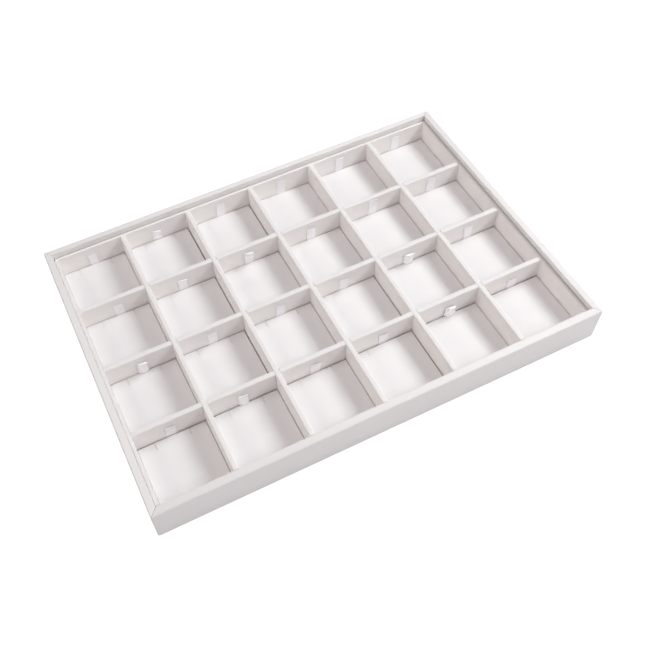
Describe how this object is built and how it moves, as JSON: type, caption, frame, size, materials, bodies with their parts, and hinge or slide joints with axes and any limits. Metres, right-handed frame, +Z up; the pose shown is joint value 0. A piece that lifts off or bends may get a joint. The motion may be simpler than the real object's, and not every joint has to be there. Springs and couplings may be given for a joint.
{
  "type": "jewelry tray",
  "caption": "Shallow rectangular jewelry tray with a mitred rim, egg-crate dividers, and a slit lift-out pad with a ribbon pull in every compartment, for showing and storing necklaces.",
  "frame": {"origin": "centre of the underside, on the surface that the tray stands on", "axes": "+X along the long side to the right, +Y towards the back, where the ribbon pulls are, +Z up"},
  "size_m": [0.35, 0.245, 0.031],
  "materials": {
    "leatherette": "white embossed leatherette over board, satin",
    "pad_leatherette": "white fine-grained leatherette over foam board, matte",
    "satin_ribbon": "white woven satin ribbon",
    "fibreboard": "plain fibreboard, bare",
    "felt": "off-white napped felt"
  },
  "bodies": {
    "tray": {"base_lining": "felt", "base_panel": "fibreboard", "front_wall": "leatherette", "back_wall": "leatherette", "left_wall": "leatherette", "right_wall": "leatherette", "front_liner": "leatherette", "back_liner": "leatherette", "left_liner": "leatherette", "right_liner": "leatherette", "long_dividers": "leatherette", "cross_dividers": "leatherette"},
    "insert_r1c1": {"pad_r1c1": "pad_leatherette", "ribbon_r1c1": "satin_ribbon"},
    "insert_r1c2": {"pad_r1c2": "pad_leatherette", "ribbon_r1c2": "satin_ribbon"},
    "insert_r1c3": {"pad_r1c3": "pad_leatherette", "ribbon_r1c3": "satin_ribbon"},
    "insert_r1c4": {"pad_r1c4": "pad_leatherette", "ribbon_r1c4": "satin_ribbon"},
    "insert_r1c5": {"pad_r1c5": "pad_leatherette", "ribbon_r1c5": "satin_ribbon"},
    "insert_r1c6": {"pad_r1c6": "pad_leatherette", "ribbon_r1c6": "satin_ribbon"},
    "insert_r2c1": {"pad_r2c1": "pad_leatherette", "ribbon_r2c1": "satin_ribbon"},
    "insert_r2c2": {"pad_r2c2": "pad_leatherette", "ribbon_r2c2": "satin_ribbon"},
    "insert_r2c3": {"pad_r2c3": "pad_leatherette", "ribbon_r2c3": "satin_ribbon"},
    "insert_r2c4": {"pad_r2c4": "pad_leatherette", "ribbon_r2c4": "satin_ribbon"},
    "insert_r2c5": {"pad_r2c5": "pad_leatherette", "ribbon_r2c5": "satin_ribbon"},
    "insert_r2c6": {"pad_r2c6": "pad_leatherette", "ribbon_r2c6": "satin_ribbon"},
    "insert_r3c1": {"pad_r3c1": "pad_leatherette", "ribbon_r3c1": "satin_ribbon"},
    "insert_r3c2": {"pad_r3c2": "pad_leatherette", "ribbon_r3c2": "satin_ribbon"},
    "insert_r3c3": {"pad_r3c3": "pad_leatherette", "ribbon_r3c3": "satin_ribbon"},
    "insert_r3c4": {"pad_r3c4": "pad_leatherette", "ribbon_r3c4": "satin_ribbon"},
    "insert_r3c5": {"pad_r3c5": "pad_leatherette", "ribbon_r3c5": "satin_ribbon"},
    "insert_r3c6": {"pad_r3c6": "pad_leatherette", "ribbon_r3c6": "satin_ribbon"},
    "insert_r4c1": {"pad_r4c1": "pad_leatherette", "ribbon_r4c1": "satin_ribbon"},
    "insert_r4c2": {"pad_r4c2": "pad_leatherette", "ribbon_r4c2": "satin_ribbon"},
    "insert_r4c3": {"pad_r4c3": "pad_leatherette", "ribbon_r4c3": "satin_ribbon"},
    "insert_r4c4": {"pad_r4c4": "pad_leatherette", "ribbon_r4c4": "satin_ribbon"},
    "insert_r4c5": {"pad_r4c5": "pad_leatherette", "ribbon_r4c5": "satin_ribbon"},
    "insert_r4c6": {"pad_r4c6": "pad_leatherette", "ribbon_r4c6": "satin_ribbon"}
  },
  "joints": [
    {"name": "lift_r1c1", "type": "slide", "parent": "tray", "child": "insert_r1c1", "axis": [0, 0, 1], "range_m": [0, 0.04]},
    {"name": "lift_r1c2", "type": "slide", "parent": "tray", "child": "insert_r1c2", "axis": [0, 0, 1], "range_m": [0, 0.04]},
    {"name": "lift_r1c3", "type": "slide", "parent": "tray", "child": "insert_r1c3", "axis": [0, 0, 1], "range_m": [0, 0.04]},
    {"name": "lift_r1c4", "type": "slide", "parent": "tray", "child": "insert_r1c4", "axis": [0, 0, 1], "range_m": [0, 0.04]},
    {"name": "lift_r1c5", "type": "slide", "parent": "tray", "child": "insert_r1c5", "axis": [0, 0, 1], "range_m": [0, 0.04]},
    {"name": "lift_r1c6", "type": "slide", "parent": "tray", "child": "insert_r1c6", "axis": [0, 0, 1], "range_m": [0, 0.04]},
    {"name": "lift_r2c1", "type": "slide", "parent": "tray", "child": "insert_r2c1", "axis": [0, 0, 1], "range_m": [0, 0.04]},
    {"name": "lift_r2c2", "type": "slide", "parent": "tray", "child": "insert_r2c2", "axis": [0, 0, 1], "range_m": [0, 0.04]},
    {"name": "lift_r2c3", "type": "slide", "parent": "tray", "child": "insert_r2c3", "axis": [0, 0, 1], "range_m": [0, 0.04]},
    {"name": "lift_r2c4", "type": "slide", "parent": "tray", "child": "insert_r2c4", "axis": [0, 0, 1], "range_m": [0, 0.04]},
    {"name": "lift_r2c5", "type": "slide", "parent": "tray", "child": "insert_r2c5", "axis": [0, 0, 1], "range_m": [0, 0.04]},
    {"name": "lift_r2c6", "type": "slide", "parent": "tray", "child": "insert_r2c6", "axis": [0, 0, 1], "range_m": [0, 0.04]},
    {"name": "lift_r3c1", "type": "slide", "parent": "tray", "child": "insert_r3c1", "axis": [0, 0, 1], "range_m": [0, 0.04]},
    {"name": "lift_r3c2", "type": "slide", "parent": "tray", "child": "insert_r3c2", "axis": [0, 0, 1], "range_m": [0, 0.04]},
    {"name": "lift_r3c3", "type": "slide", "parent": "tray", "child": "insert_r3c3", "axis": [0, 0, 1], "range_m": [0, 0.04]},
    {"name": "lift_r3c4", "type": "slide", "parent": "tray", "child": "insert_r3c4", "axis": [0, 0, 1], "range_m": [0, 0.04]},
    {"name": "lift_r3c5", "type": "slide", "parent": "tray", "child": "insert_r3c5", "axis": [0, 0, 1], "range_m": [0, 0.04]},
    {"name": "lift_r3c6", "type": "slide", "parent": "tray", "child": "insert_r3c6", "axis": [0, 0, 1], "range_m": [0, 0.04]},
    {"name": "lift_r4c1", "type": "slide", "parent": "tray", "child": "insert_r4c1", "axis": [0, 0, 1], "range_m": [0, 0.04]},
    {"name": "lift_r4c2", "type": "slide", "parent": "tray", "child": "insert_r4c2", "axis": [0, 0, 1], "range_m": [0, 0.04]},
    {"name": "lift_r4c3", "type": "slide", "parent": "tray", "child": "insert_r4c3", "axis": [0, 0, 1], "range_m": [0, 0.04]},
    {"name": "lift_r4c4", "type": "slide", "parent": "tray", "child": "insert_r4c4", "axis": [0, 0, 1], "range_m": [0, 0.04]},
    {"name": "lift_r4c5", "type": "slide", "parent": "tray", "child": "insert_r4c5", "axis": [0, 0, 1], "range_m": [0, 0.04]},
    {"name": "lift_r4c6", "type": "slide", "parent": "tray", "child": "insert_r4c6", "axis": [0, 0, 1], "range_m": [0, 0.04]}
  ]
}
